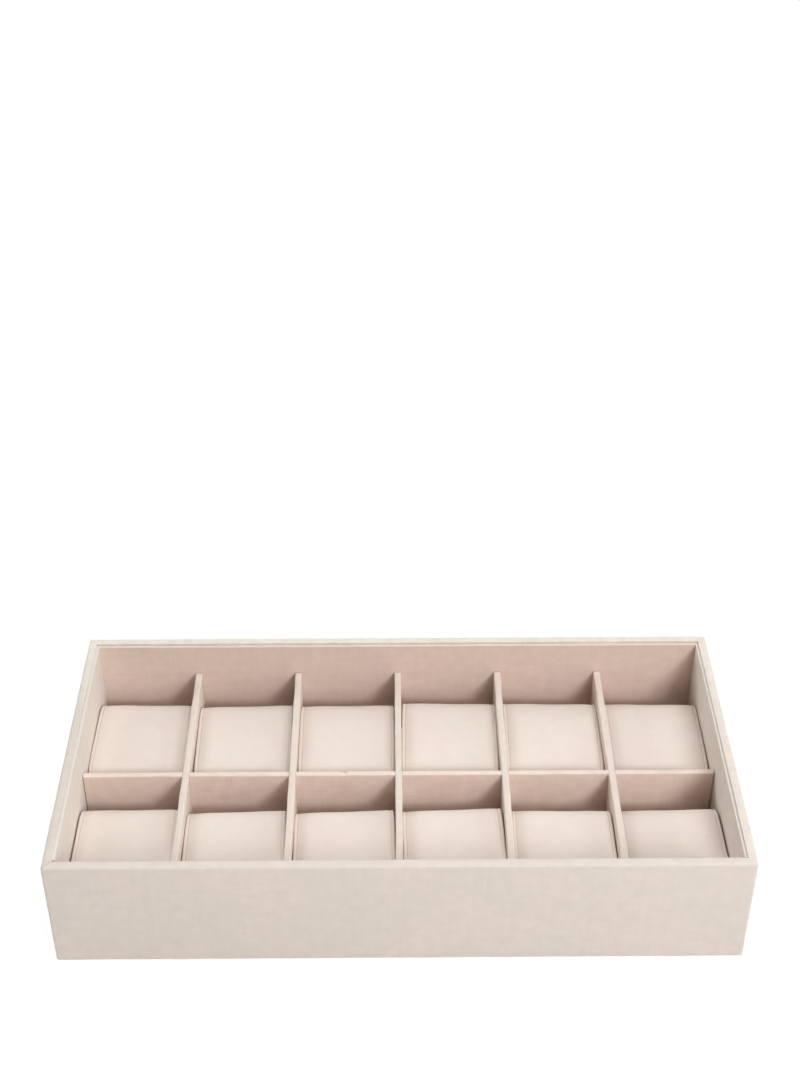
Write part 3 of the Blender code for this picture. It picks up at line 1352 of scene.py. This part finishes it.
    @staticmethod
    def subdivided(block: bpy.types.Object) -> bpy.types.Mesh:
        """Smooth the block by one subdivision that keeps the edges of the end panels.

        Args:
            block: The foam block.

        Returns:
            The smoothed mesh.
        """
        mesh = block.data
        ends = max(vertex.co.x for vertex in mesh.vertices)
        crease = mesh.attributes.new("crease_edge", "FLOAT", "EDGE")
        shape = bmesh.new()
        shape.from_mesh(mesh)
        shape.edges.ensure_lookup_table()
        for edge in shape.edges:
            at_end = all(abs(abs(vertex.co.x) - ends) < 0.1 * MM for vertex in edge.verts)
            flat = [abs(face.normal.x) > 0.9 for face in edge.link_faces]
            if at_end and any(flat) and not all(flat):
                crease.data[edge.index].value = 1.0
        shape.free()
        smoother = block.modifiers.new("smooth", "SUBSURF")
        smoother.levels = 1
        smoother.render_levels = 1
        graph = bpy.context.evaluated_depsgraph_get()
        graph.update()
        return bpy.data.meshes.new_from_object(block.evaluated_get(graph))

    def sew(self, piece: Piece, size: Vector) -> None:
        """Round the ends, draw in the seam beside each and raise the piping beyond it.

        Args:
            piece: The cushion.
            size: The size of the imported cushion.
        """
        half = size.x / 2
        piece.round_off(self.end_edges(piece, half), self.end_radius)
        seam = half - self.seam_inset
        rings = [seam + step * MM for step in (0.75, 0.45, 0.2, 0.0, -0.2, -0.45, -0.8, -1.4)]
        piece.slice_at(0, [-ring for ring in rings] + rings)
        piece.shape.normal_update()
        moves = []
        for vertex in piece.shape.verts:
            from_end = half - abs(vertex.co.x)
            higher = self.right_welt if vertex.co.x > 0 else 1.0
            groove = self.seam_depth * bell(from_end - self.seam_inset, self.seam_width)
            welt = higher * self.welt_height * bell(from_end - self.welt_inset, self.welt_width)
            moves.append(Vector((0.0, vertex.normal.y, vertex.normal.z)) * (welt - groove))
        for vertex, move in zip(piece.shape.verts, moves):
            vertex.co += move
        piece.unsettle(16 * MM, 0.16 * MM, (0.25, 1.0, 1.0))
        # Painted shade: darker down in each seam and at the left end.
        piece.paint("seam", lambda vertex: self.shade(half, vertex.co.x))

    @staticmethod
    def end_edges(piece: Piece, half: float) -> list[bmesh.types.BMEdge]:
        """Give the edges where the cover meets the end panels.

        Args:
            piece: The cushion.
            half: Half its length.

        Returns:
            The edges.
        """
        found = []
        for edge in piece.shape.edges:
            at_end = all(abs(abs(vertex.co.x) - half) < 0.3 * MM for vertex in edge.verts)
            flat = [abs(face.normal.x) > 0.7 for face in edge.link_faces]
            if at_end and len(flat) == 2 and flat[0] != flat[1]:
                found.append(edge)
        return found

    def shade(self, half: float, along: float) -> float:
        """Give how much painted shade the cover has at a place: in the seams, and at the left end.

        Args:
            half: Half the length of the cushion.
            along: The place along it, from its middle.

        Returns:
            The share of the dark tone.
        """
        from_end = half - abs(along)
        # Painted shade over the last 10 mm at the left end of each cushion.
        left_end_shade = self.painted_left_end_shade * (1 - eased(along + half, 2 * MM, 10 * MM))
        return left_end_shade + self.seam_shade * bell(from_end - self.seam_inset, self.shade_width)

    def free_room(self, node: str) -> float:
        """Give the room between a packed cushion and the nearer of the boards beside it.

        Args:
            node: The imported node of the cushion, which ends with its column's number.

        Returns:
            The room.
        """
        low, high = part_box(node)
        column = int(node.split("_")[-1])
        left_board = f"cross_divider_{column - 1}" if column > 1 else "left_lining"
        right_board = f"cross_divider_{column}" if column < len(self.front_row) else "right_lining"
        return min(low.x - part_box(left_board)[1].x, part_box(right_board)[0].x - high.x)

    def seat(self, piece: Piece, size: Vector, how: Sitting, room: float) -> None:
        """Flatten the foot, then spread, lean, turn and shift the cushion as it sits.

        Args:
            piece: The cushion.
            size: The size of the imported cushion.
            how: How the cushion sits.
            room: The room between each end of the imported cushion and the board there.
        """
        bottom = -size.z / 2
        for vertex in piece.shape.verts:
            vertex.co.z = max(vertex.co.z, bottom)
            at_left = vertex.co.x < 0
            towards_corner = (2 * abs(vertex.co.y) / size.y) ** 4
            end_share = (2 * abs(vertex.co.x) / size.x) ** 3
            kept = how.left if at_left else how.right
            reach = room - kept * MM - self.corner_pull * towards_corner * end_share
            vertex.co.x *= 1 + reach * 2 / size.x
            height_share = (vertex.co.z - bottom) / size.z
            fall = self.left_fall if at_left else self.right_fall
            drop = self.end_drop * eased(abs(vertex.co.x), size.x / 2 - fall, size.x / 2 + 3 * MM)
            lean = 0.75 * how.tilt * MM * (vertex.co.x / size.x)
            vertex.co.z -= (lean + drop) * height_share
        turn = -math.atan2(how.tilt * MM, size.x)
        piece.move(Matrix.Translation((0.0, how.back * MM, 0.0)) @ Matrix.Rotation(turn, 4, "Z"))


@dataclass(frozen=True)
class Lamp:
    """A round, soft studio lamp.

    Attributes:
        name: Its name.
        turn: Its way from the tray, seen from above: 0 is the front and 90 the right, in degrees.
        height: How high it stands over the floor, in degrees.
        width: How wide it looks from the tray, in degrees.
        level: The light that it gives a white surface that faces it, where 1 is white.
        distance: How far away it stands, in metres, or 0 for a lamp so far that it lights all evenly.
    """

    name: str
    turn: float
    height: float
    width: float
    level: float
    distance: float = 0.0

    def place(self) -> None:
        """Make the lamp and point it at the tray."""
        turn, height = math.radians(self.turn), math.radians(self.height)
        flat = math.cos(height)
        way = Vector((math.sin(turn) * flat, -math.cos(turn) * flat, math.sin(height)))
        lamp = bpy.data.lights.new(self.name, "AREA" if self.distance else "SUN")
        if self.distance:
            lamp.shape = "DISK"
            lamp.size = 2 * self.distance * math.tan(math.radians(self.width / 2))
            lamp.energy = self.level * (math.pi * self.distance) ** 2
        else:
            lamp.angle = math.radians(self.width)
            lamp.energy = self.level * math.pi
        holder = show(self.name, lamp)
        holder.location = way * (self.distance or 3.0)
        holder.rotation_euler = way.to_track_quat("Z", "Y").to_euler()


@dataclass
class Studio:
    """The camera, the white floor and surroundings, and the lamps.

    Attributes:
        camera_place: Where the camera stands.
        pitch_down: How far it looks down, in degrees.
        yaw: How far it is turned to the left, in degrees.
        roll: How far it is turned about its own view, in degrees.
        lens: Its focal length, in millimetres.
        sensor: The size of its sensor along the picture's longer side, in millimetres.
        floor_reach: How far the floor reaches from the tray.
        floor_tone: How white the floor is for the lamps' light.
        floor_glow: How bright the glow is that the floor has for the camera.
        glow_share: How much of the floor's look that glow makes up.
        lamps: The lamps.
    """

    camera_place: Place = (-0.00488, -0.73650, 0.77869)
    pitch_down: float = 36.433
    yaw: float = -0.442
    roll: float = -0.0205
    lens: float = 56.424
    sensor: float = 36.0
    floor_reach: float = 6.0
    floor_tone: float = 0.86
    floor_glow: float = 1.035
    glow_share: float = 0.90
    lamps: tuple[Lamp, ...] = (
        Lamp("key", 27, 35, 15, 0.40, distance=1.8),
        Lamp("overhead", 60, 80, 30, 0.485),
        Lamp("front_low", 20, 20, 24, 0.145, distance=1.8),
        Lamp("right_low", 90, 20, 24, 0.225),
        Lamp("right_back_low", 135, 20, 24, 0.176),
        Lamp("left_low", 270, 8, 30, 0.265),
        Lamp("left_back", 225, 35, 30, 0.315),
    )

    def build(self) -> None:
        """Set up the whole studio."""
        self.camera()
        self.floor()
        self.world()
        for lamp in self.lamps:
            lamp.place()
            log.info("lamp %s", lamp.name)
        bpy.context.scene.view_settings.view_transform = "Standard"

    def camera(self) -> None:
        """Place the camera where the photograph was taken from."""
        lens = bpy.data.cameras.new("camera")
        lens.lens = self.lens
        lens.sensor_width = self.sensor
        lens.clip_start = 0.05
        lens.clip_end = 50.0
        pitch, yaw, roll = (math.radians(angle) for angle in (90 - self.pitch_down, self.yaw, self.roll))
        aim = Matrix.Rotation(yaw, 3, "Z") @ Matrix.Rotation(pitch, 3, "X")
        aim = aim @ Matrix.Rotation(roll, 3, "Z")
        holder = show("camera", lens)
        holder.rotation_euler = aim.to_euler()
        holder.location = self.camera_place
        bpy.context.scene.camera = holder

    def floor(self) -> None:
        """Make the white floor, which looks white to the camera and keeps a faint shadow."""
        shape = bmesh.new()
        bmesh.ops.create_grid(shape, x_segments=1, y_segments=1, size=self.floor_reach)
        mesh = bpy.data.meshes.new("floor")
        shape.to_mesh(mesh)
        shape.free()
        mesh.materials.append(self.floor_paint())
        show("floor", mesh)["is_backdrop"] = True

    def floor_paint(self) -> bpy.types.Material:
        """Make the floor's white: plain paint for the light, mostly a white glow for the eye.

        Returns:
            The material.
        """
        paint = bpy.data.materials.new("floor_white")
        paint.use_nodes = True
        graph = ShaderGraph(paint.node_tree)
        graph.tree.nodes.clear()
        tone = (self.floor_tone, self.floor_tone, self.floor_tone, 1.0)
        plain = graph.add("ShaderNodeBsdfDiffuse", {"Color": tone})
        glow = graph.add("ShaderNodeEmission", {"Strength": self.floor_glow})
        path = graph.add("ShaderNodeLightPath", {})
        seen = graph.combine("MAXIMUM", path.outputs["Is Camera Ray"], path.outputs["Is Glossy Ray"])
        share = graph.combine("MULTIPLY", seen, self.glow_share)
        inputs = {"Fac": share, 1: plain.outputs["BSDF"], 2: glow.outputs["Emission"]}
        mixer = graph.add("ShaderNodeMixShader", inputs)
        graph.add("ShaderNodeOutputMaterial", {"Surface": mixer.outputs["Shader"]})
        return paint

    @staticmethod
    def world() -> None:
        """Make the even surroundings, white to the camera and without any light on the tray."""
        world = bpy.data.worlds.new("surroundings")
        bpy.context.scene.world = world
        world.use_nodes = True
        graph = ShaderGraph(world.node_tree)
        path = graph.add("ShaderNodeLightPath", {})
        background = graph.tree.nodes["Background"]
        graph.put(background.inputs["Color"], (1.0, 1.0, 1.0, 1.0))
        graph.put(background.inputs["Strength"], path.outputs["Is Camera Ray"])


def main() -> None:
    """Build the studio and the tray."""
    logging.basicConfig(level=logging.INFO, format="%(name)s: %(message)s")
    noise.seed_set(UNEVENNESS_SEED)
    finishes = Finishes()
    Studio().build()
    OuterBox(finishes).build()
    Lining(finishes).build()
    DividerLattice(finishes).build()
    CushionSet(finishes).build()
    visible_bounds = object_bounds()
    sizes = {
        "packed": [list(corner) for corner in packed_bounds],
        "visible": [list(corner) for corner in visible_bounds],
    }
    for name, corners in sizes.items():
        log.info("%s box %s", name, corners)


if __name__ == "__main__":
    main()
